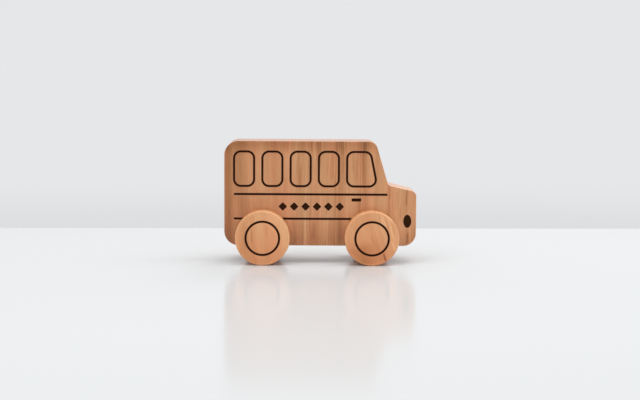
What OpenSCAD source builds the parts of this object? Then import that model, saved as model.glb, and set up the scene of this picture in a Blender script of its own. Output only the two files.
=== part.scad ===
// Wooden toy bus: a hardwood slab with burnt lines, rolling on four glued-up wheels.
// The nose points along +X, +Z is up, and the origin lies on the ground under the middle.

/* [Body] */
// Length of the body from the rear end to the nose
body_length = 141.4; // [120:0.1:180]
// Height of the body from its underside to the roof
body_height = 77.1; // [70:0.1:100]
// Thickness of the slab
body_width = 30; // [20:0.5:50]
// Round along every outer edge of the slab
edge_ease = 0.4; // [0.2:0.1:2]

/* [Outline] */
// Radius of the two rear corners
rear_corner_r = 10.5; // [4:0.1:16]
// Radius of the lower corner of the nose
nose_bottom_r = 9.5; // [4:0.1:14]
// Radius of the upper corner of the nose
nose_top_r = 4.5; // [3:0.1:8]
// Radius of the corner between roof and windscreen
roof_front_r = 6.5; // [3:0.1:12]
// Radius of the hollow between windscreen and hood
screen_fillet_r = 3; // [1:0.1:6]
// Length of the hood from the windscreen's foot to the nose
hood_length = 20.8; // [14:0.1:30]
// Height of the nose above the underside, before its corner is rounded
nose_height = 40.1; // [32:0.1:44]
// Fall of the hood towards the nose, in degrees
hood_slope = 13.5; // [0:0.1:18]
// Lean of the windscreen from upright, in degrees
screen_lean = 16.7; // [0:0.1:25]

/* [Wheels] */
// Diameter of each wheel
wheel_d = 40; // [30:0.5:50]
// Thickness of each wheel
wheel_width = 12; // [10:0.5:18]
// Round along the wheel's two rims
rim_round = 0.8; // [0.4:0.1:3]
// Mean radius of the burnt ring on the wheel's outer face
ring_r = 12.2; // [8:0.1:13]
// Gap between each wheel and the side of the body
wheel_gap = 1; // [0.5:0.1:2]

/* [Axles] */
// Diameter of the axle dowels
axle_d = 8; // [5:0.5:10]
// Height of the axles above the underside of the body
axle_rise = 6.9; // [6.5:0.1:9]
// Distance of the rear axle from the rear end of the body
rear_overhang = 28.4; // [22:0.1:34]
// Distance of the front axle from the nose
front_overhang = 33; // [22:0.1:40]
// Depth of the blind bore in each wheel
wheel_bore_depth = 8; // [5:0.1:8.5]
// Radial clearance of the dowel that turns in the body
running_clearance = 0.1; // [0.05:0.01:0.1]
// Radial clearance of the dowel that is glued into a wheel
glue_clearance = 0.05; // [0.02:0.01:0.1]
// Room left for glue at the bottom of each blind bore
glue_room = 0.3; // [0.1:0.1:1]
// Chamfer at the ends of the dowels
axle_chamfer = 0.6; // [0.2:0.1:1]

/* [Burnt lines] */
// Width of every burnt line
line_width = 1.3; // [0.8:0.1:2]
// Depth that the lines are burnt into the wood
line_depth = 0.5; // [0.2:0.1:1]
// Distance of the first window and the stripes from the rear end
mark_margin = 7.2; // [5:0.1:12]
// Distance of the upper stripe below the windows' sills
stripe_drop = 6; // [4:0.1:8]
// Distance from the upper stripe down to the lower stripe
belt_height = 18.1; // [12:0.1:20]
// Distance of the stripes' front ends behind the windscreen
stripe_stop = 0.7; // [0:0.1:10]

/* [Windows] */
// Number of windows on each side
window_count = 5; // [3:1:6]
// Height of the windows
window_height = 25.4; // [18:0.1:27]
// Distance of the windows below the roof
window_drop = 7.7; // [5:0.1:9]
// Wood between neighbouring windows
window_pillar = 6.05; // [4:0.05:8]
// Width of the front window along its sill
front_window_width = 22.3; // [18:0.1:26]
// Wood between the front window's sill and the windscreen
front_pillar = 8.1; // [6:0.1:12]
// Lean of the front window's front side from upright, in degrees
front_window_lean = 11.5; // [0:0.1:15]
// Radius of the windows' corners
window_corner_r = 5; // [2:0.1:6]

/* [Small marks] */
// Length of the door handle mark
handle_length = 6.8; // [4:0.1:10]
// Thickness of the door handle mark
handle_height = 2; // [1:0.1:3]
// Distance of the door handle mark below the upper stripe
handle_drop = 4; // [2.5:0.1:5]
// Distance of the door handle mark ahead of the front window's rear side
handle_inset = 3.6; // [0:0.1:10]
// Length of the lamp mark
lamp_length = 5.5; // [3:0.1:8]
// Height of the lamp mark
lamp_height = 9.4; // [4:0.1:12]
// Distance of the lamp behind the nose
lamp_setback = 6.5; // [5:0.1:9]
// Height of the lamp above the underside
lamp_rise = 18.4; // [14:0.1:24]
// Number of diamonds in the row between the stripes
diamond_count = 6; // [3:1:8]
// Width and height of each diamond
diamond_size = 6; // [3:0.1:8]
// Distance from one diamond to the next
diamond_pitch = 8.4; // [8.1:0.1:10]
// Distance of the row's middle behind the middle of the body
diamond_setback = 6.7; // [0:0.1:12]

/* [Hidden] */
$fn = 96;

// Largest turn between two points of a rounded corner, in degrees
arc_step = 6;
// Facets across the round of the slab's edges
ease_steps = 5;
// Room by which every cut runs past the wood that it cuts
over = 1;

body_color = [0.78, 0.57, 0.41];
wheel_color = [0.84, 0.62, 0.45];
axle_color = [0.80, 0.64, 0.48];
burnt_color = [0.13, 0.07, 0.03];

axle_z = wheel_d / 2;
underside_z = axle_z - axle_rise;
roof_z = underside_z + body_height;
rear_x = -body_length / 2;
nose_x = body_length / 2;
rear_axle_x = rear_x + rear_overhang;
front_axle_x = nose_x - front_overhang;
axle_length = body_width + 2 * (wheel_gap + wheel_bore_depth - glue_room);

// Foot of the windscreen, where it would meet the hood in a sharp corner
screen_foot_x = nose_x - hood_length;
screen_foot_z = underside_z + nose_height + hood_length * tan(hood_slope);

// Front limit of the cabin at height z: the windscreen, or its foot below that
function screen_x(z) = screen_foot_x - max(0, z - screen_foot_z) * tan(screen_lean);

// Corners of the body seen from its right side, anticlockwise, each as [x, z, radius]
body_corners = [
    [rear_x, underside_z, rear_corner_r],
    [nose_x, underside_z, nose_bottom_r],
    [nose_x, underside_z + nose_height, nose_top_r],
    [screen_foot_x, screen_foot_z, screen_fillet_r],
    [screen_x(roof_z), roof_z, roof_front_r],
    [rear_x, roof_z, rear_corner_r]
];

// The side windows share the length between the rear margin and the front window
mark_x = rear_x + mark_margin;
window_top_z = roof_z - window_drop;
window_sill_z = window_top_z - window_height;
front_window_x = screen_x(window_sill_z) - front_pillar - front_window_width;
front_window_top_width = front_window_width - window_height * tan(front_window_lean);
window_pitch = (front_window_x - mark_x) / (window_count - 1);
window_width = window_pitch - window_pillar;

upper_stripe_z = window_sill_z - stripe_drop;
lower_stripe_z = upper_stripe_z - belt_height;

// Rounded outlines are lists of corners [x, y, radius], taken anticlockwise.
// Side i runs from corner i to the next one, and corner i joins side i - 1 to side i.
function spot(corners, i) =
    let (corner = corners[(i + len(corners)) % len(corners)]) [corner[0], corner[1]];
function direction(angle) = [cos(angle), sin(angle)];
function heading(corners, i) =
    let (side = spot(corners, i + 1) - spot(corners, i)) atan2(side[1], side[0]);
function turning(corners, i) =
    (heading(corners, i) - heading(corners, i - 1) + 540) % 360 - 180;

// Points of a rounded outline, moved into its area by the inset
function rounded_points(corners, inset) = [
    for (i = [0 : len(corners) - 1])
        let (
            turn = turning(corners, i),
            bend = sign(turn),
            radius = corners[i][2],
            before = heading(corners, i - 1),
            arc_start = spot(corners, i) - radius * tan(abs(turn) / 2) * direction(before),
            centre = arc_start + bend * radius * direction(before + 90),
            steps = ceil(abs(turn) / arc_step)
        )
        for (k = [0 : steps])
            centre + (radius - bend * inset) * direction(before - bend * 90 + turn * k / steps)
];

// A slab with a rounded outline, centred on z = 0, whose edges are rounded by the ease
module eased_slab(corners, thickness, ease) {
    round_angles = [for (k = [0 : ease_steps]) 90 * k / ease_steps];
    lower_levels = [for (a = round_angles)
        [ease * (1 - sin(a)), ease * (1 - cos(a)) - thickness / 2]];
    upper_levels = [for (k = [ease_steps : -1 : 0])
        [lower_levels[k][0], -lower_levels[k][1]]];
    levels = concat(lower_levels, upper_levels);
    points = [for (level = levels)
        for (p = rounded_points(corners, level[0])) [p[0], p[1], level[1]]];
    count = len(points) / len(levels);
    top = count * (len(levels) - 1);
    polyhedron(points, concat(
        [[for (k = [0 : count - 1]) k]],
        [[for (k = [0 : count - 1]) top + count - 1 - k]],
        [for (base = [0 : count : top - count], k = [0 : count - 1])
            let (next = (k + 1) % count)
            [base + k, base + count + k, base + count + next, base + next]]
    ));
}

// A filled mark, burnt into a side face at z = 0
module burnt() {
    translate([0, 0, -line_depth]) linear_extrude(line_depth + over) children();
}

// A burnt line along a rounded outline
module burnt_outline(corners) {
    burnt() difference() {
        polygon(rounded_points(corners, -line_width / 2));
        polygon(rounded_points(corners, line_width / 2));
    }
}

module window(x, sill_width, top_width) {
    radius = min(window_corner_r, top_width / 2 - line_width);
    burnt_outline([
        [x, window_sill_z, radius],
        [x + sill_width, window_sill_z, radius],
        [x + top_width, window_top_z, radius],
        [x, window_top_z, radius]
    ]);
}

module windows() {
    for (i = [0 : window_count - 2])
        window(mark_x + i * window_pitch, window_width, window_width);
    window(front_window_x, front_window_width, front_window_top_width);
}

module stripe(z) {
    translate([mark_x, z - line_width / 2])
        burnt() square([screen_x(z) - stripe_stop - mark_x, line_width]);
}

module door_handle() {
    translate([front_window_x + handle_inset, upper_stripe_z - handle_drop - handle_height / 2])
        burnt() square([handle_length, handle_height]);
}

module lamp() {
    translate([nose_x - lamp_setback, underside_z + lamp_rise])
        burnt() scale([lamp_length / lamp_height, 1]) circle(d = lamp_height);
}

module diamond_row() {
    first_x = -diamond_setback - (diamond_count - 1) * diamond_pitch / 2;
    half = diamond_size / 2;
    for (i = [0 : diamond_count - 1])
        translate([first_x + i * diamond_pitch, (lower_stripe_z + upper_stripe_z) / 2])
            burnt() polygon([[half, 0], [0, half], [-half, 0], [0, -half]]);
}

// Everything that is burnt into one side of the body
module side_marks() {
    windows();
    stripe(upper_stripe_z);
    stripe(lower_stripe_z);
    door_handle();
    lamp();
    diamond_row();
}

module axle_bore(x) {
    translate([x, axle_z])
        cylinder(h = body_width + 2 * over, d = axle_d + 2 * running_clearance, center = true);
}

module body() {
    rotate([90, 0, 0]) difference() {
        color(body_color) eased_slab(body_corners, body_width, edge_ease);
        color(burnt_color) for (side = [0, 1])
            mirror([0, 0, side]) translate([0, 0, body_width / 2]) side_marks();
        color(body_color) axle_bore(front_axle_x);
        color(body_color) axle_bore(rear_axle_x);
    }
}

// A dowel across the body at x, chamfered at both ends
module axle(x) {
    radius = axle_d / 2;
    half = axle_length / 2;
    color(axle_color) translate([x, 0, axle_z]) rotate([90, 0, 0])
        rotate_extrude() polygon([
            [0, -half],
            [radius - axle_chamfer, -half],
            [radius, -half + axle_chamfer],
            [radius, half - axle_chamfer],
            [radius - axle_chamfer, half],
            [0, half]
        ]);
}

// Half of the wheel's section: its axis lies along x = 0 and its inner face along y = 0
module wheel_section() {
    radius = wheel_d / 2;
    difference() {
        union() {
            square([radius - rim_round, wheel_width]);
            translate([0, rim_round]) square([radius, wheel_width - 2 * rim_round]);
            for (y = [rim_round, wheel_width - rim_round])
                translate([radius - rim_round, y]) circle(rim_round);
        }
        translate([-over, -over])
            square([over + axle_d / 2 + glue_clearance, over + wheel_bore_depth]);
    }
}

// A wheel at x, on the right side (side = -1) or on the left side (side = 1) of the body
module wheel(x, side) {
    translate([x, side * (body_width / 2 + wheel_gap), axle_z]) rotate([-side * 90, 0, 0])
        difference() {
            color(wheel_color) rotate_extrude() wheel_section();
            color(burnt_color) rotate_extrude()
                translate([ring_r - line_width / 2, wheel_width - line_depth])
                    square([line_width, line_depth + over]);
        }
}

body();
axle(front_axle_x);  // front_axle
axle(rear_axle_x);  // rear_axle
wheel(front_axle_x, 1);  // front_left_wheel
wheel(front_axle_x, -1);  // front_right_wheel
wheel(rear_axle_x, 1);  // rear_left_wheel
wheel(rear_axle_x, -1);  // rear_right_wheel
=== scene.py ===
"""Looks of the wooden toy bus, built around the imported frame.

The frame is in metres: the nose points along +X, the side that the photo shows faces -Y,
+Z is up and the origin lies on the ground. Sizes in this file are in millimetres.
"""
import math
from functools import partial

import bmesh
import bpy
from mathutils import Euler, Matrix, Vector
from mathutils.geometry import tessellate_polygon


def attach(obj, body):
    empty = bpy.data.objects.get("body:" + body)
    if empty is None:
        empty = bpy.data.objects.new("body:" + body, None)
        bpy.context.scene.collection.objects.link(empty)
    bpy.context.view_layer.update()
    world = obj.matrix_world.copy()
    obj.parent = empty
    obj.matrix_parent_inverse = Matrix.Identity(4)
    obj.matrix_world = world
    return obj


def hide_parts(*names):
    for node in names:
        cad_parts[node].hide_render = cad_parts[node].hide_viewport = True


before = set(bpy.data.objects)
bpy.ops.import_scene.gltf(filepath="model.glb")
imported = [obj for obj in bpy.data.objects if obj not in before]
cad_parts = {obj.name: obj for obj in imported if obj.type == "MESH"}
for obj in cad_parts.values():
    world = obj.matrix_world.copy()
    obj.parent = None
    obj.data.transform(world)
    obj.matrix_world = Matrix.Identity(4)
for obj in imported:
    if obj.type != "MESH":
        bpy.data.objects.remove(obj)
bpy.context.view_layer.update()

MM = 0.001
# The two sides, by their sign along Y
RIGHT = -1
LEFT = 1

# Body, as in the part's source
BODY_WIDTH = 30
EDGE_EASE = 0.4
UNDERSIDE_Z = 13.1
ROOF_Z = 90.2
REAR_X = -70.7
NOSE_X = 70.7
NOSE_TOP_Z = 53.2
REAR_CORNER_R = 10.5
NOSE_BOTTOM_R = 9.5
NOSE_TOP_R = 4.5
ROOF_FRONT_R = 6.5
SCREEN_FILLET_R = 3
HOOD_LENGTH = 20.8
HOOD_SLOPE = math.radians(13.5)
SCREEN_LEAN = math.radians(16.7)

# Wheels and axles
WHEEL_R = 20
WHEEL_WIDTH = 12
RIM_ROUND = 0.8
RING_R = 12.2
WHEEL_GAP = 1
AXLE_R = 4
AXLE_Z = 20
FRONT_AXLE_X = 37.7
REAR_AXLE_X = -42.3
RUNNING_CLEARANCE = 0.1
GLUE_CLEARANCE = 0.05
WHEEL_BORE_DEPTH = 8
BORE_CHAMFER = 0.3

# Burnt marks
LINE_WIDTH = 1.3
LINE_DEPTH = 0.5
MARK_X = -63.5
WINDOW_COUNT = 5
WINDOW_TOP_Z = 82.5
WINDOW_SILL_Z = 57.1
WINDOW_PILLAR = 6.05
WINDOW_CORNER_R = 5
FRONT_WINDOW_X = 19.5
FRONT_WINDOW_WIDTH = 22.3
FRONT_WINDOW_LEAN = math.radians(11.5)
UPPER_STRIPE_Z = 51.1
LOWER_STRIPE_Z = 33
STRIPE_END_X = 49.2
HANDLE_X = 23.1
HANDLE_Z = 47.1
HANDLE_LENGTH = 6.8
HANDLE_HEIGHT = 2
LAMP_X = 64.2
LAMP_Z = 31.5
LAMP_LENGTH = 5.5
LAMP_HEIGHT = 9.4
DIAMOND_COUNT = 6
DIAMOND_SIZE = 6
DIAMOND_PITCH = 8.4
DIAMOND_MIDDLE_X = -6.7
MARK_CORNER_R = 0.4

# Burn of the wood, 0 where it is bare: charred, and gone grey inside wide marks
CHARRED = 1.0
GREYED = 2.0
# Section of a burnt edge, from the bare wood inwards:
# distance inside the edge, share of the full depth, burn
BURN_EDGE = (
    (-0.45, 0.0, 0.0),
    (-0.18, 0.0, 0.4),
    (0.0, 0.08, CHARRED),
    (0.12, 0.6, CHARRED),
    (0.35, 0.94, CHARRED),
)
# The same in a wide mark, and across a line, from outside its outline to inside
WIDE_BURN = (*BURN_EDGE, (1.0, 1.0, GREYED))
HALF_LINE = LINE_WIDTH / 2
LINE_BURN = (
    *((inset - HALF_LINE, depth, burn) for inset, depth, burn in BURN_EDGE),
    (0.0, 1.0, CHARRED),
    *((HALF_LINE - inset, depth, burn) for inset, depth, burn in reversed(BURN_EDGE)),
)
# How far the wear of a handled edge reaches past its rounding
WEAR_REACH = 1.2

# Fineness of the meshes
ARC_STEP = math.radians(3)
EASE_STEPS = 8
LAMP_POINTS = 72
BORE_POINTS = 72
WHEEL_POINTS = 144
# Edges that bend more than this stay sharp
SHARP_ANGLE = math.radians(50)


def heading(start, end):
    return math.atan2(end[1] - start[1], end[0] - start[0])


def rounded_outline(corners, inset=0.0):
    """Points of an outline with corners (x, z, radius), anticlockwise, moved inwards."""
    points = []
    for i, (x, z, radius) in enumerate(corners):
        before = heading(corners[i - 1], corners[i])
        after = heading(corners[i], corners[(i + 1) % len(corners)])
        turn = (after - before + math.pi) % (2 * math.pi) - math.pi
        bend = math.copysign(1, turn)
        reach = radius * math.tan(abs(turn) / 2)
        centre_x = x - reach * math.cos(before) - bend * radius * math.sin(before)
        centre_z = z - reach * math.sin(before) + bend * radius * math.cos(before)
        steps = math.ceil(abs(turn) / ARC_STEP)
        for k in range(steps + 1):
            angle = before - bend * math.pi / 2 + turn * k / steps
            points.append((
                centre_x + (radius - bend * inset) * math.cos(angle),
                centre_z + (radius - bend * inset) * math.sin(angle),
            ))
    return points


def ellipse(x, z, half_length, half_height, count):
    """Points of an upright ellipse, anticlockwise."""
    angles = [2 * math.pi * k / count for k in range(count)]
    return [(x + half_length * math.cos(a), z + half_height * math.sin(a)) for a in angles]


class Shell:
    """A mesh in the making: rows of points, each with its burn and its wear, and faces."""

    def __init__(self):
        self.points = []
        self.marks = {"burn": [], "wear": []}
        self.faces = []

    def row(self, points, burn=0.0, wear=0.0):
        first = len(self.points)
        self.points.extend(points)
        self.marks["burn"].extend([burn] * len(points))
        self.marks["wear"].extend([wear] * len(points))
        return list(range(first, len(self.points)))

    def strip(self, row, other):
        """A closed band of quads between two rows."""
        for k in range(len(row)):
            after = (k + 1) % len(row)
            self.faces.append((row[k], row[after], other[after], other[k]))

    def chain(self, rows):
        """Bands of quads from each row to the next."""
        for row, other in zip(rows, rows[1:]):
            self.strip(row, other)

    def fill(self, rows):
        """Triangles inside the first row and outside the others, all in one upright plane."""
        flat = [[Vector((self.points[i][0], self.points[i][2], 0)) for i in row] for row in rows]
        order = [i for row in rows for i in row]
        for triangle in tessellate_polygon(flat):
            self.faces.append(tuple(order[i] for i in triangle))

    def build(self, name, body, node, material, char):
        """Makes the piece, in the place of its CAD node, with char on its burnt faces."""
        mesh = bpy.data.meshes.new(name)
        mesh.from_pydata([Vector(p) * MM for p in self.points], [], self.faces)
        for key, values in self.marks.items():
            mesh.attributes.new(key, "FLOAT", "POINT").data.foreach_set("value", values)
        mesh.materials.append(material)
        mesh.materials.append(char)
        burns = self.marks["burn"]
        for polygon in mesh.polygons:
            polygon.material_index = int(min(burns[i] for i in polygon.vertices) >= CHARRED)
        work = bmesh.new()
        work.from_mesh(mesh)
        # Rounder triangles on the flat faces, none of them along a row of points in one line
        flat = [face for face in work.faces if len(face.verts) == 3]
        inner = [
            edge for edge in work.edges
            if all(len(face.verts) == 3 for face in edge.link_faces)
        ]
        bmesh.ops.beautify_fill(work, faces=flat, edges=inner)
        bmesh.ops.recalc_face_normals(work, faces=work.faces)
        for face in work.faces:
            face.smooth = True
        work.to_mesh(mesh)
        work.free()
        mesh.set_sharp_from_angle(angle=SHARP_ANGLE)
        piece = bpy.data.objects.new(name, mesh)
        bpy.context.scene.collection.objects.link(piece)
        normals = piece.modifiers.new("even_normals", "WEIGHTED_NORMAL")
        normals.keep_sharp = True
        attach(piece, body)
        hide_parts(node)


def body_corners():
    foot_x = NOSE_X - HOOD_LENGTH
    foot_z = NOSE_TOP_Z + HOOD_LENGTH * math.tan(HOOD_SLOPE)
    return [
        (REAR_X, UNDERSIDE_Z, REAR_CORNER_R),
        (NOSE_X, UNDERSIDE_Z, NOSE_BOTTOM_R),
        (NOSE_X, NOSE_TOP_Z, NOSE_TOP_R),
        (foot_x, foot_z, SCREEN_FILLET_R),
        (foot_x - (ROOF_Z - foot_z) * math.tan(SCREEN_LEAN), ROOF_Z, ROOF_FRONT_R),
        (REAR_X, ROOF_Z, REAR_CORNER_R),
    ]


def window_outlines():
    """Middle line of each burnt window, as rounded corners."""
    pitch = (FRONT_WINDOW_X - MARK_X) / (WINDOW_COUNT - 1)
    width = pitch - WINDOW_PILLAR
    front_top = FRONT_WINDOW_WIDTH - (WINDOW_TOP_Z - WINDOW_SILL_Z) * math.tan(FRONT_WINDOW_LEAN)
    windows = [(MARK_X + i * pitch, width, width) for i in range(WINDOW_COUNT - 1)]
    windows.append((FRONT_WINDOW_X, FRONT_WINDOW_WIDTH, front_top))
    return [
        [
            (x, WINDOW_SILL_Z, WINDOW_CORNER_R),
            (x + sill, WINDOW_SILL_Z, WINDOW_CORNER_R),
            (x + top, WINDOW_TOP_Z, WINDOW_CORNER_R),
            (x, WINDOW_TOP_Z, WINDOW_CORNER_R),
        ]
        for x, sill, top in windows
    ]


def bar(x, z, length, height):
    """A burnt bar that starts at x, with its middle at height z."""
    return [
        (x, z - height / 2, MARK_CORNER_R),
        (x + length, z - height / 2, MARK_CORNER_R),
        (x + length, z + height / 2, MARK_CORNER_R),
        (x, z + height / 2, MARK_CORNER_R),
    ]


def diamond(x, z):
    half = DIAMOND_SIZE / 2
    return [
        (x + half, z, MARK_CORNER_R),
        (x, z + half, MARK_CORNER_R),
        (x - half, z, MARK_CORNER_R),
        (x, z - half, MARK_CORNER_R),
    ]


def bars():
    """The two stripes and the door handle, as rounded corners."""
    return [
        bar(MARK_X, UPPER_STRIPE_Z, STRIPE_END_X - MARK_X, LINE_WIDTH),
        bar(MARK_X, LOWER_STRIPE_Z, STRIPE_END_X - MARK_X, LINE_WIDTH),
        bar(HANDLE_X, HANDLE_Z, HANDLE_LENGTH, HANDLE_HEIGHT),
    ]


def diamonds():
    """The row of diamonds between the stripes, as rounded corners."""
    belt_z = (UPPER_STRIPE_Z + LOWER_STRIPE_Z) / 2
    first_x = DIAMOND_MIDDLE_X - (DIAMOND_COUNT - 1) * DIAMOND_PITCH / 2
    return [diamond(first_x + i * DIAMOND_PITCH, belt_z) for i in range(DIAMOND_COUNT)]


class Side:
    """One side face of the body, with everything that is burnt into it."""

    def __init__(self, shell, sign):
        self.shell = shell
        self.sign = sign
        self.holes = []
        self.islands = []

    def level(self, outline, depth=0.0, burn=0.0, wear=0.0):
        """A row of points along an outline, this deep in the side."""
        y = self.sign * (BODY_WIDTH / 2 - depth)
        return self.shell.row([(x, y, z) for x, z in outline], burn, wear)

    def mark(self, outline, section):
        """A burnt mark; outline gives its points for a distance inside its edge."""
        rows = [
            self.level(outline(inset), depth * LINE_DEPTH, burn)
            for inset, depth, burn in section
        ]
        self.shell.chain(rows)
        self.holes.append(rows[0])
        self.islands.append(rows[-1])

    def bore(self, x):
        """The mouth of an axle bore; gives the row where its wall starts."""
        radius = AXLE_R + RUNNING_CLEARANCE
        wide = radius + BORE_CHAMFER
        mouth = self.level(ellipse(x, AXLE_Z, wide, wide, BORE_POINTS))
        wall = self.level(ellipse(x, AXLE_Z, radius, radius, BORE_POINTS), BORE_CHAMFER)
        self.shell.strip(mouth, wall)
        self.holes.append(mouth)
        return wall

    def eased_edge(self, corners):
        """The rounded edge of the slab; gives the row where the slab's rim starts."""
        rows = [self.level(rounded_outline(corners, EDGE_EASE + WEAR_REACH))]
        for k in range(EASE_STEPS + 1):
            angle = math.pi / 2 * k / EASE_STEPS
            inset = EDGE_EASE * (1 - math.sin(angle))
            rows.append(self.level(
                rounded_outline(corners, inset), EDGE_EASE * (1 - math.cos(angle)), wear=1.0
            ))
        rows.append(self.level(rounded_outline(corners), EDGE_EASE + WEAR_REACH))
        self.shell.chain(rows)
        self.shell.fill([rows[0], *self.holes])
        for island in self.islands:
            self.shell.fill([island])
        return rows[-1]


def lamp_outline(inset):
    return ellipse(
        LAMP_X, LAMP_Z, LAMP_LENGTH / 2 - inset, LAMP_HEIGHT / 2 - inset, LAMP_POINTS
    )


def make_body(material, char):
    shell = Shell()
    rims = []
    bores = []
    for sign in (RIGHT, LEFT):
        side = Side(shell, sign)
        for corners in window_outlines():
            side.mark(partial(rounded_outline, corners), LINE_BURN)
        for corners in bars():
            side.mark(partial(rounded_outline, corners), BURN_EDGE)
        for corners in diamonds():
            side.mark(partial(rounded_outline, corners), WIDE_BURN)
        side.mark(lamp_outline, WIDE_BURN)
        bores.append([side.bore(x) for x in (FRONT_AXLE_X, REAR_AXLE_X)])
        rims.append(side.eased_edge(body_corners()))
    shell.strip(*rims)
    for right, left in zip(*bores):
        shell.strip(right, left)
    shell.build("slab_body", "bus_body", "body", material, char)


def wheel_section():
    """Half of a wheel's section: radius, distance from the inner face, burn, wear."""
    bore = AXLE_R + GLUE_CLEARANCE
    section = [
        (bore, WHEEL_BORE_DEPTH, 0.0, 0.0),
        (bore, BORE_CHAMFER, 0.0, 0.0),
        (bore + BORE_CHAMFER, 0.0, 0.0, 0.0),
    ]
    quarter = [math.pi / 2 * k / EASE_STEPS for k in range(EASE_STEPS + 1)]
    shoulder = WHEEL_R - RIM_ROUND
    worn = RIM_ROUND + WEAR_REACH
    section.append((WHEEL_R - worn, 0.0, 0.0, 0.0))
    section.extend(
        (shoulder + RIM_ROUND * math.sin(a), RIM_ROUND * (1 - math.cos(a)), 0.0, 1.0)
        for a in quarter
    )
    section.append((WHEEL_R, worn, 0.0, 0.0))
    section.append((WHEEL_R, WHEEL_WIDTH - worn, 0.0, 0.0))
    section.extend(
        (
            shoulder + RIM_ROUND * math.cos(a),
            WHEEL_WIDTH - RIM_ROUND * (1 - math.sin(a)),
            0.0,
            1.0,
        )
        for a in quarter
    )
    section.append((WHEEL_R - worn, WHEEL_WIDTH, 0.0, 0.0))
    section.extend(
        (RING_R - inset, WHEEL_WIDTH - depth * LINE_DEPTH, burn, 0.0)
        for inset, depth, burn in LINE_BURN
    )
    return section


def make_wheel(node, body, axle_x, sign, material, char):
    shell = Shell()
    inner_y = sign * (BODY_WIDTH / 2 + WHEEL_GAP)
    rows = []
    for radius, reach, burn, wear in wheel_section():
        circle = ellipse(axle_x, AXLE_Z, radius, radius, WHEEL_POINTS)
        rows.append(shell.row([(x, inner_y + sign * reach, z) for x, z in circle], burn, wear))
    shell.chain(rows)
    shell.fill([rows[0]])
    shell.fill([rows[-1]])
    shell.build("turned_" + node, body, node, material, char)


def colour(red, green, blue):
    """A colour written in sRGB, 0 to 255, as Blender's linear value."""
    def linear(level):
        share = level / 255
        return share / 12.92 if share <= 0.04045 else ((share + 0.055) / 1.055) ** 2.4
    return (linear(red), linear(green), linear(blue), 1.0)


class Graph:
    """Short calls that add nodes to one node tree and wire them up."""

    # Sockets of the Mix node that carry a mix of colours
    SHARE, FIRST, SECOND, MIXED = 0, 6, 7, 2

    def __init__(self, tree):
        self.tree = tree

    def feed(self, socket, value):
        if isinstance(value, bpy.types.NodeSocket):
            self.tree.links.new(value, socket)
        else:
            socket.default_value = value

    def node(self, kind, inputs=None, **settings):
        node = self.tree.nodes.new(kind)
        for key, value in settings.items():
            setattr(node, key, value)
        for key, value in (inputs or {}).items():
            self.feed(node.inputs[key], value)
        return node

    def math(self, operation, *values, clamp=False):
        node = self.node("ShaderNodeMath", operation=operation, use_clamp=clamp)
        for socket, value in zip(node.inputs, values):
            self.feed(socket, value)
        return node.outputs[0]

    def add(self, *values):
        total = values[0]
        for value in values[1:]:
            total = self.math("ADD", total, value)
        return total

    def swing(self, value, size):
        """A noise of 0 to 1 as a swing about zero, size from end to end."""
        return self.math("MULTIPLY_ADD", value, size, -size / 2)

    def noise(self, place, lengths, detail=2.0, roughness=0.5):
        """Noise whose grains have these lengths along the three axes."""
        scaled = self.node("ShaderNodeVectorMath", operation="MULTIPLY")
        self.feed(scaled.inputs[0], place)
        self.feed(scaled.inputs[1], tuple(1 / length for length in lengths))
        return self.node("ShaderNodeTexNoise", {
            "Vector": scaled.outputs[0], "Scale": 1.0, "Detail": detail, "Roughness": roughness,
        }).outputs[0]

    def bands(self, place, length, detail=2.0, roughness=0.6):
        """Noise along one value, with grains of this length."""
        return self.node("ShaderNodeTexNoise", {
            "W": place, "Scale": 1 / length, "Detail": detail, "Roughness": roughness,
        }, noise_dimensions="1D").outputs[0]

    def rise(self, value, start, end, low=0.0, high=1.0):
        """A smooth step from low at start to high at end."""
        return self.node("ShaderNodeMapRange", {
            "Value": value, "From Min": start, "From Max": end, "To Min": low, "To Max": high,
        }, interpolation_type="SMOOTHSTEP").outputs[0]

    def ramp(self, value, stops):
        node = self.node("ShaderNodeValToRGB", {"Fac": value})
        elements = node.color_ramp.elements
        while len(elements) < len(stops):
            elements.new(1.0)
        for element, (position, tone) in zip(elements, stops):
            element.position = position
            element.color = tone
        return node.outputs[0]

    def mix(self, share, first, second, blend="MIX"):
        node = self.node("ShaderNodeMix", data_type="RGBA", blend_type=blend)
        self.feed(node.inputs[self.SHARE], share)
        self.feed(node.inputs[self.FIRST], first)
        self.feed(node.inputs[self.SECOND], second)
        return node.outputs[self.MIXED]

    def relief(self, shader, height, strength, distance):
        bump = self.node("ShaderNodeBump", {
            "Height": height, "Strength": strength, "Distance": distance * MM,
        })
        self.feed(shader.inputs["Normal"], bump.outputs[0])


# Wood: growth rings round a pith that runs along the grain, seen where the surface cuts them
BODY_TONES = (
    colour(118, 60, 18), colour(168, 102, 48), colour(202, 137, 88), colour(228, 170, 122)
)
WHEEL_TONES = (
    colour(148, 80, 32), colour(198, 122, 65), colour(224, 151, 99), colour(242, 180, 128)
)
AXLE_TONES = (
    colour(150, 108, 72), colour(184, 141, 102), colour(208, 168, 126), colour(226, 192, 154)
)
# Where these tones stand on the scale of tone, and where plain wood stands on it
TONE_STOPS = (0.0, 0.3, 0.6, 1.0)
TONE_LEVEL = 0.68
WHEEL_LEVEL = 0.8
# How strongly the wheels show their rings, and how much paler worn edges are
WHEEL_CONTRAST = 0.6
EDGE_POLISH = 0.06
WHEEL_POLISH = 0.25
RED_TINT = (1.03, 0.97, 0.95, 1.0)
OCHRE_TINT = (0.97, 1.02, 0.99, 1.0)
FLECK = colour(112, 66, 38)
TOAST = colour(86, 40, 12)
CHAR_DARK = colour(38, 12, 0)
CHAR_LIGHT = colour(62, 27, 4)
ASH_TONE = colour(54, 43, 29)
PITH = (-170, 130)
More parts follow.
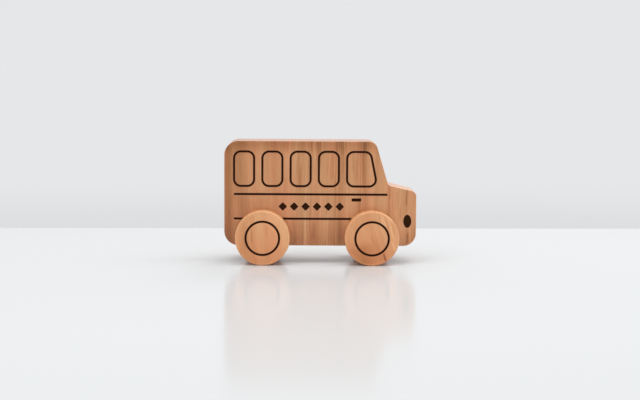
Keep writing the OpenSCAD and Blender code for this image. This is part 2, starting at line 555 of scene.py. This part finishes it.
# Lengths of the grains of noise: twice across the wood, then along it
SLOW_WAVES = (38, 38, 120)
SHORT_WAVES = (7, 7, 34)
FIBRES = (0.5, 0.5, 16)
PATCHES = (12, 12, 30)
FADING = (8, 8, 26)
PORES = (0.32, 0.32, 4.2)
WORN_SPOTS = (5, 5, 9)
TINTS = (9, 9, 50)
SOOT = (0.7, 0.7, 2.8)
# Where on such noise, from 0 to 1, these set in and are full
FADING_RANGE = (0.35, 0.65)
PORE_RANGE = (0.66, 0.76)
WORN_RANGE = (0.3, 0.7)
TINT_RANGE = (0.3, 0.7)
# Width of the growth rings, and how far the waves push them from end to end
WIDE_RINGS = 7.0
FINE_RINGS = 1.2
SLOW_PUSH = 5.0
SHORT_PUSH = 2.2
# Swings of the tone from end to end
WIDE_SWING = 0.46
FINE_SWING = 0.6
FIBRE_SWING = 0.26
PATCH_SWING = 0.3
# How far a face looks up where the painted highlight sets in and is full
TOP_HIGHLIGHT_RANGE = (0.1, 1.0)
FLECK_SHARE = 0.35
# Where a streak ends across, in half widths, and fades along, in half lengths
STREAK_EDGE = 2
STREAK_FADE = (0.5, 1.3)
# How ragged the burn is along the fibres, and at which burn the wood is toasted and charred
BURN_RAGGED = 2.0
TOAST_RANGE = (0.05, 0.6)
TOAST_SHARE = 0.8
CHAR_RANGE = (0.5, CHARRED)
# Satin oil: its coat, and the roughness below it with its swings
COAT_WEIGHT = 0.5
COAT_ROUGHNESS = 0.3
OIL_ROUGHNESS = 0.3
FIBRE_ROUGHNESS = 0.14
PATCH_ROUGHNESS = 0.1
WORN_ROUGHNESS = -0.08
CHAR_ROUGHNESS = 0.8
SOOT_ROUGHNESS = 0.2
CHAR_SPECULAR = 0.02
# Relief of the fibres, with the pores sunk into it, and of the char: strength, height
PORE_RELIEF = -0.6
FIBRE_RELIEF = (0.5, 0.04)
CHAR_RELIEF = (0.6, 0.06)
# Streaks on the side that the photo shows, one of them a painted shadow of the front wheel: x,
# half width, darkening, or below zero lightening, middle height, half length
BODY_STREAKS = (
    (-67.8, 1.2, 0.12, 52, 34),
    (-61.0, 1.6, 0.1, 68, 14),
    (-59.5, 1.8, 0.1, 42, 9),
    (-45.0, 1.4, 0.1, 45, 9),
    (-19.5, 1.1, 0.2, 24, 12),
    (-17.6, 0.7, 0.2, 73, 9),
    (-15.6, 0.6, 0.2, 64, 9),
    (-12.4, 0.5, 0.16, 23, 9),
    (-10.8, 0.7, -0.14, 24, 11),
    (-9.6, 1.1, 0.12, 70, 12),
    (-5.6, 0.5, -0.16, 84, 12),
    (-5.0, 1.3, 0.16, 24, 7),
    (-2.6, 1.4, 0.14, 82, 14),
    (5.0, 1.5, -0.12, 24, 10),
    (8.5, 0.9, 0.18, 24, 10),
    (8.7, 0.8, 0.26, 72, 12),
    # Painted shadow of the front wheel, on the body just left of it
    (15.7, 1.5, 0.18, 25, 11),
    (16.2, 1.0, 0.12, 76, 14),
    (24.2, 0.5, 0.16, 74, 9),
    (27.0, 0.5, 0.18, 70, 10),
    (30.2, 1.2, 0.14, 43, 10),
    (42.0, 5.0, -0.1, 42, 7),
    (32.2, 1.3, 0.24, 76, 20),
    (52.2, 0.5, 0.2, 52, 5),
    (57.3, 0.5, 0.2, 47, 7),
    (59.0, 6.0, -0.22, 22, 9),
    (60.2, 0.4, 0.18, 38, 5),
    (64.2, 0.4, 0.3, 49, 6),
    (65.2, 0.6, 0.3, 19, 4),
)
# Where the fine rings show: from where to where, least and most
BODY_CLEAR = (-40, 0, 0.5, 1.6)
# Painted highlight: how much paler the faces are that look up
BODY_TOP_HIGHLIGHT = 0.1
# Painted shade on the body, darker towards the roof, the bottom and the rear end, a little paler
# towards the nose: axis, from where to where, change of tone
BODY_PAINTED_SHADE = (
    ("w", 78, 90, -0.3),
    ("w", 36, 14, -0.25),
    ("u", -50, -71, -0.22),
    ("u", 46, 62, 0.04),
)


def board(graph, turn=(0, 0, 0), middle=(0, 0, 0), shift=(0, 0, 0)):
    """Places in millimetres on the board that a piece is cut from, its grain along the third axis.

    turn and shift place the board on the piece, about the piece's middle.
    """
    centre = Vector(middle)
    centre.rotate(Euler(turn))
    return graph.node("ShaderNodeMapping", {
        "Vector": graph.node("ShaderNodeTexCoord").outputs["Object"],
        "Location": Vector(shift) - centre,
        "Rotation": turn,
        "Scale": (1 / MM, 1 / MM, 1 / MM),
    }).outputs[0]


def wood(name, tones, turn=(0, 0, 0), middle=(0, 0, 0), shift=(0, 0, 0), face_v=0.0,
         streaks=(), painted_shade=(), top_highlight=0.0, level=TONE_LEVEL, contrast=1.0, polish=EDGE_POLISH,
         clear=None):
    """Oiled wood, toasted along the burnt marks and polished along the handled edges.

    Faces that look up get a painted highlight, and the painted shade darkens or lightens the tone
    along the board.
    Streaks and painted shade are given from the piece's middle, the streaks on its face at face_v.
    """
    material = bpy.data.materials.new(name)
    material.use_nodes = True
    graph = Graph(material.node_tree)
    shader = material.node_tree.nodes["Principled BSDF"]
    place = board(graph, turn, middle, shift)
    axes = dict(zip("uvw", graph.node("ShaderNodeSeparateXYZ", {"Vector": place}).outputs))
    offset = dict(zip("uvw", shift))

    # Distance from the pith, drawn in long waves along the grain
    across = graph.node("ShaderNodeCombineXYZ", {"X": axes["u"], "Y": axes["v"]}).outputs[0]
    far = graph.node("ShaderNodeVectorMath", operation="DISTANCE")
    graph.feed(far.inputs[0], across)
    graph.feed(far.inputs[1], (*PITH, 0))
    slow = graph.noise(place, SLOW_WAVES)
    wave = graph.noise(place, SHORT_WAVES)
    radius = graph.add(
        far.outputs["Value"], graph.swing(slow, SLOW_PUSH), graph.swing(wave, SHORT_PUSH)
    )

    wide = graph.bands(radius, WIDE_RINGS)
    fine = graph.bands(radius, FINE_RINGS)
    fibre = graph.noise(place, FIBRES, detail=3.0, roughness=0.6)
    patch = graph.noise(place, PATCHES)
    faded = graph.rise(graph.noise(place, FADING), *FADING_RANGE)
    if clear:
        faded = graph.math("MULTIPLY", faded, graph.rise(axes["u"], *clear))
    pores = graph.rise(graph.noise(place, PORES, detail=1.0), *PORE_RANGE)
    worn = graph.math(
        "MULTIPLY",
        graph.node("ShaderNodeAttribute", attribute_name="wear").outputs["Fac"],
        graph.rise(graph.noise(place, WORN_SPOTS, detail=3.0), *WORN_RANGE),
    )

    tone = graph.add(
        level,
        graph.swing(wide, WIDE_SWING * contrast),
        graph.math("MULTIPLY", graph.swing(fine, FINE_SWING * contrast), faded),
        graph.swing(fibre, FIBRE_SWING),
        graph.swing(patch, PATCH_SWING * contrast),
        graph.math("MULTIPLY", worn, polish),
    )
    for x, half_width, darkening, height, half_length in streaks:
        ring = math.hypot(x + offset["u"] - PITH[0], face_v + offset["v"] - PITH[1])
        beside = graph.math("ABSOLUTE", graph.math("SUBTRACT", radius, ring))
        along = graph.math("ABSOLUTE", graph.math("SUBTRACT", axes["w"], height + offset["w"]))
        streak = graph.math(
            "MULTIPLY",
            graph.rise(beside, 0.0, STREAK_EDGE * half_width, darkening, 0.0),
            graph.rise(along, *(share * half_length for share in STREAK_FADE), 1.0, 0.0),
        )
        tone = graph.math("SUBTRACT", tone, streak)
    # Painted shade: tone darker or paler along an axis of the board
    for axis, start, end, change in painted_shade:
        tone = graph.add(tone, graph.rise(
            axes[axis], start + offset[axis], end + offset[axis], 0.0, change
        ))
    # Painted highlight: faces that look up are paler
    if top_highlight:
        facing = graph.node("ShaderNodeTexCoord").outputs["Normal"]
        upward = graph.node("ShaderNodeSeparateXYZ", {"Vector": facing}).outputs["Z"]
        tone = graph.add(tone, graph.rise(upward, *TOP_HIGHLIGHT_RANGE, 0.0, top_highlight))

    surface = graph.ramp(tone, tuple(zip(TONE_STOPS, tones)))
    ochre = graph.rise(graph.noise(place, TINTS), *TINT_RANGE)
    tint = graph.mix(ochre, RED_TINT, OCHRE_TINT)
    surface = graph.mix(1.0, surface, tint, "MULTIPLY")
    surface = graph.mix(graph.math("MULTIPLY", pores, FLECK_SHARE), surface, FLECK)

    # Toasted along the burnt marks, a little ragged along the fibres
    burn = graph.node("ShaderNodeAttribute", attribute_name="burn").outputs["Fac"]
    edge = graph.math("MULTIPLY", burn, graph.math("SUBTRACT", 1.0, burn))
    ragged = graph.math("MULTIPLY_ADD", edge, graph.swing(fibre, BURN_RAGGED), burn)
    surface = graph.mix(graph.rise(ragged, *TOAST_RANGE, 0.0, TOAST_SHARE), surface, TOAST)
    surface = graph.mix(graph.rise(ragged, *CHAR_RANGE), surface, CHAR_DARK)
    graph.feed(shader.inputs["Base Color"], surface)

    shader.inputs["Coat Weight"].default_value = COAT_WEIGHT
    shader.inputs["Coat Roughness"].default_value = COAT_ROUGHNESS
    rough = graph.add(
        graph.swing(fibre, FIBRE_ROUGHNESS), graph.swing(patch, PATCH_ROUGHNESS), OIL_ROUGHNESS
    )
    rough = graph.math("MULTIPLY_ADD", worn, WORN_ROUGHNESS, rough, clamp=True)
    graph.feed(shader.inputs["Roughness"], rough)
    graph.relief(shader, graph.math("MULTIPLY_ADD", pores, PORE_RELIEF, fibre), *FIBRE_RELIEF)
    return material


def charred(name):
    """Charred wood: matt, dark brown, going grey inside wide marks."""
    material = bpy.data.materials.new(name)
    material.use_nodes = True
    graph = Graph(material.node_tree)
    shader = material.node_tree.nodes["Principled BSDF"]
    place = board(graph)
    soot = graph.noise(place, SOOT, detail=3.0)
    burn = graph.node("ShaderNodeAttribute", attribute_name="burn").outputs["Fac"]
    ash = graph.math("MULTIPLY", graph.rise(burn, CHARRED, GREYED), soot)
    surface = graph.mix(ash, graph.mix(soot, CHAR_DARK, CHAR_LIGHT), ASH_TONE)
    graph.feed(shader.inputs["Base Color"], surface)
    rough = graph.add(CHAR_ROUGHNESS, graph.swing(soot, SOOT_ROUGHNESS))
    graph.feed(shader.inputs["Roughness"], rough)
    shader.inputs["Specular IOR Level"].default_value = CHAR_SPECULAR
    graph.relief(shader, soot, *CHAR_RELIEF)
    return material


# Wheels: body, axle, side, turn of the grain in degrees, place of the board in the tree, and
# streaks as on the body, but from the wheel's middle and with its own grain upright
WHEELS = {
    "front_right_wheel": ("front_axle_set", FRONT_AXLE_X, RIGHT, 18, (60, 10, 300), (
        (14.0, 2.8, -0.2, 0, 16),
        (16.9, 0.5, 0.26, 2.6, 5),
        (15.4, 0.6, -0.3, 0, 5),
        (13.4, 0.5, 0.32, 6.9, 5),
        (11.4, 0.6, -0.34, 9.5, 4),
        (10.2, 0.4, 0.26, 11.9, 3),
        (13.2, 0.7, -0.3, -10, 4),
        (4.9, 0.6, 0.6, -15.8, 3.4),
        (0.3, 0.4, 0.16, 0, 4),
        (-8.8, 9.0, 0.24, -10.2, 9),
        (0.0, 7.0, 0.09, 15, 5),
    )),
    "front_left_wheel": ("front_axle_set", FRONT_AXLE_X, LEFT, 62, (-40, 25, 700), ()),
    "rear_right_wheel": ("rear_axle_set", REAR_AXLE_X, RIGHT, 5, (20, -12, 1100), (
        (16.0, 3.0, -0.2, 2, 16),
        (7.0, 4.0, -0.1, 16, 6),
        (-7.3, 0.5, 0.26, 2, 5),
        (-13.0, 1.6, 0.12, 2, 12),
        (3.0, 0.4, 0.12, 6, 5),
    )),
    "rear_left_wheel": ("rear_axle_set", REAR_AXLE_X, LEFT, 118, (75, 31, 1500), ()),
}
# Painted shade on the wheels, darker towards one end and one edge of each board, the lower left on
# the right-hand wheels: axis, from where to where, change of tone
WHEEL_PAINTED_SHADE = (
    ("w", 18, -20, -0.2),
    ("u", 18, -18, -0.12),
)
# Dowels: place of the board in the tree
AXLE_BOARDS = {"front_axle": (30, 15, 0), "rear_axle": (-20, 40, 400)}


def make_pieces():
    char = charred("char")
    make_body(wood(
        "body_wood", BODY_TONES, face_v=RIGHT * BODY_WIDTH / 2, streaks=BODY_STREAKS,
        painted_shade=BODY_PAINTED_SHADE, top_highlight=BODY_TOP_HIGHLIGHT, clear=BODY_CLEAR,
    ), char)
    face_y = BODY_WIDTH / 2 + WHEEL_GAP + WHEEL_WIDTH
    for node, (body, axle_x, sign, degrees, shift, streaks) in WHEELS.items():
        material = wood(
            node + "_wood", WHEEL_TONES, (0, math.radians(degrees), 0), (axle_x, 0, AXLE_Z), shift,
            sign * face_y, streaks, WHEEL_PAINTED_SHADE,
            level=WHEEL_LEVEL, contrast=WHEEL_CONTRAST, polish=WHEEL_POLISH,
        )
        make_wheel(node, body, axle_x, sign, material, char)
    for node, shift in AXLE_BOARDS.items():
        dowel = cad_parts[node]
        material = wood(node + "_wood", AXLE_TONES, (math.pi / 2, 0, 0), shift=shift)
        dowel.data.materials.clear()
        dowel.data.materials.append(material)


# Stage: a pale, slightly glossy table top in even light, with a far edge a little askew
FLOOR_NEAR_Y = -3000
FLOOR_BACK_Y = 194
FLOOR_BACK_SLANT = 0.029
FLOOR_HALF_WIDTH = 2500
FLOOR_COLOUR = colour(213, 215, 216)
FLOOR_ROUGHNESS = 0.15
FLOOR_SPECULAR = 0.075
# Wall behind it, from its foot up, with a painted shadow as the darker band low on it, and how
# steeply one looks down where the tones change
WALL_FOOT = colour(236, 237, 238)
WALL_PAINTED_SHADOW = colour(221, 222, 223)
WALL_HIGH = colour(230, 231, 233)
FOOT_TO_LOW = (-0.213, -0.149)
LOW_TO_HIGH = (-0.125, -0.085)
# Even white light from all round, and two lamps: place, length and width, watts
WHITE = colour(255, 255, 255)
WORLD_LIGHT = 0.72
KEY_LAMP = ((100, -250, 1250), (3000, 800), 15.5)
BACK_LAMP = ((250, 850, 950), (400, 400), 2.5)
LAMP_TARGET = (0, 0, 40)


def make_floor():
    mesh = bpy.data.meshes.new("floor")
    slant = FLOOR_BACK_SLANT * FLOOR_HALF_WIDTH
    corners = [
        (-FLOOR_HALF_WIDTH, FLOOR_NEAR_Y),
        (FLOOR_HALF_WIDTH, FLOOR_NEAR_Y),
        (FLOOR_HALF_WIDTH, FLOOR_BACK_Y + slant),
        (-FLOOR_HALF_WIDTH, FLOOR_BACK_Y - slant),
    ]
    mesh.from_pydata([(x * MM, y * MM, 0) for x, y in corners], [], [(0, 1, 2, 3)])
    material = bpy.data.materials.new("floor")
    material.use_nodes = True
    shader = material.node_tree.nodes["Principled BSDF"]
    shader.inputs["Base Color"].default_value = FLOOR_COLOUR
    shader.inputs["Roughness"].default_value = FLOOR_ROUGHNESS
    shader.inputs["Specular IOR Level"].default_value = FLOOR_SPECULAR
    mesh.materials.append(material)
    floor = bpy.data.objects.new("floor", mesh)
    bpy.context.scene.collection.objects.link(floor)


def make_world():
    world = bpy.data.worlds.new("studio")
    world.use_nodes = True
    bpy.context.scene.world = world
    graph = Graph(world.node_tree)
    direction = graph.node("ShaderNodeTexCoord").outputs["Generated"]
    height = graph.node("ShaderNodeSeparateXYZ", {"Vector": direction}).outputs["Z"]
    # The wall pale at its foot, a painted shadow band above it, paler again up high
    foot = graph.mix(graph.rise(height, *FOOT_TO_LOW), WALL_FOOT, WALL_PAINTED_SHADOW)
    wall = graph.mix(graph.rise(height, *LOW_TO_HIGH), foot, WALL_HIGH)
    seen = graph.node("ShaderNodeBackground", {"Color": wall, "Strength": 1.0})
    light = graph.node("ShaderNodeBackground", {"Color": WHITE, "Strength": WORLD_LIGHT})
    path = graph.node("ShaderNodeLightPath").outputs
    shown = graph.math("MAXIMUM", path["Is Camera Ray"], path["Is Glossy Ray"])
    shown = graph.math("MAXIMUM", shown, path["Is Transmission Ray"])
    mixed = graph.node("ShaderNodeMixShader", {"Fac": shown})
    graph.feed(mixed.inputs[1], light.outputs[0])
    graph.feed(mixed.inputs[2], seen.outputs[0])
    graph.feed(world.node_tree.nodes["World Output"].inputs["Surface"], mixed.outputs[0])


def make_lamp(name, place, size, watts):
    data = bpy.data.lights.new(name, "AREA")
    data.shape = "RECTANGLE"
    data.size = size[0] * MM
    data.size_y = size[1] * MM
    data.energy = watts
    lamp = bpy.data.objects.new(name, data)
    lamp.location = Vector(place) * MM
    lamp.rotation_euler = (Vector(LAMP_TARGET) - Vector(place)).to_track_quat("-Z", "Y").to_euler()
    bpy.context.scene.collection.objects.link(lamp)


# Camera, fitted to the photo; its angles are in radians
CAMERA_TARGET = (-0.09, 0, 45.43)
CAMERA_DISTANCE = 1000
CAMERA_RISE = math.radians(5.88)
CAMERA_TURN = math.radians(-0.78)
CAMERA_ROLL = 0.0066
CAMERA_LENS = 75.27
SENSOR_WIDTH = 36


def make_camera():
    data = bpy.data.cameras.new("camera")
    data.sensor_width = SENSOR_WIDTH
    data.lens = CAMERA_LENS
    camera = bpy.data.objects.new("camera", data)
    level = Vector((math.sin(CAMERA_TURN), -math.cos(CAMERA_TURN), 0))
    back = math.cos(CAMERA_RISE) * level + Vector((0, 0, math.sin(CAMERA_RISE)))
    camera.location = (Vector(CAMERA_TARGET) + CAMERA_DISTANCE * back) * MM
    view = (-back).to_track_quat("-Z", "Y").to_matrix()
    view = view @ Euler((0, 0, CAMERA_ROLL)).to_matrix()
    camera.rotation_euler = view.to_euler()
    bpy.context.scene.collection.objects.link(camera)
    bpy.context.scene.camera = camera


bpy.context.scene.view_settings.view_transform = "Standard"
make_camera()
make_pieces()
make_floor()
make_world()
make_lamp("key", *KEY_LAMP)
make_lamp("back", *BACK_LAMP)
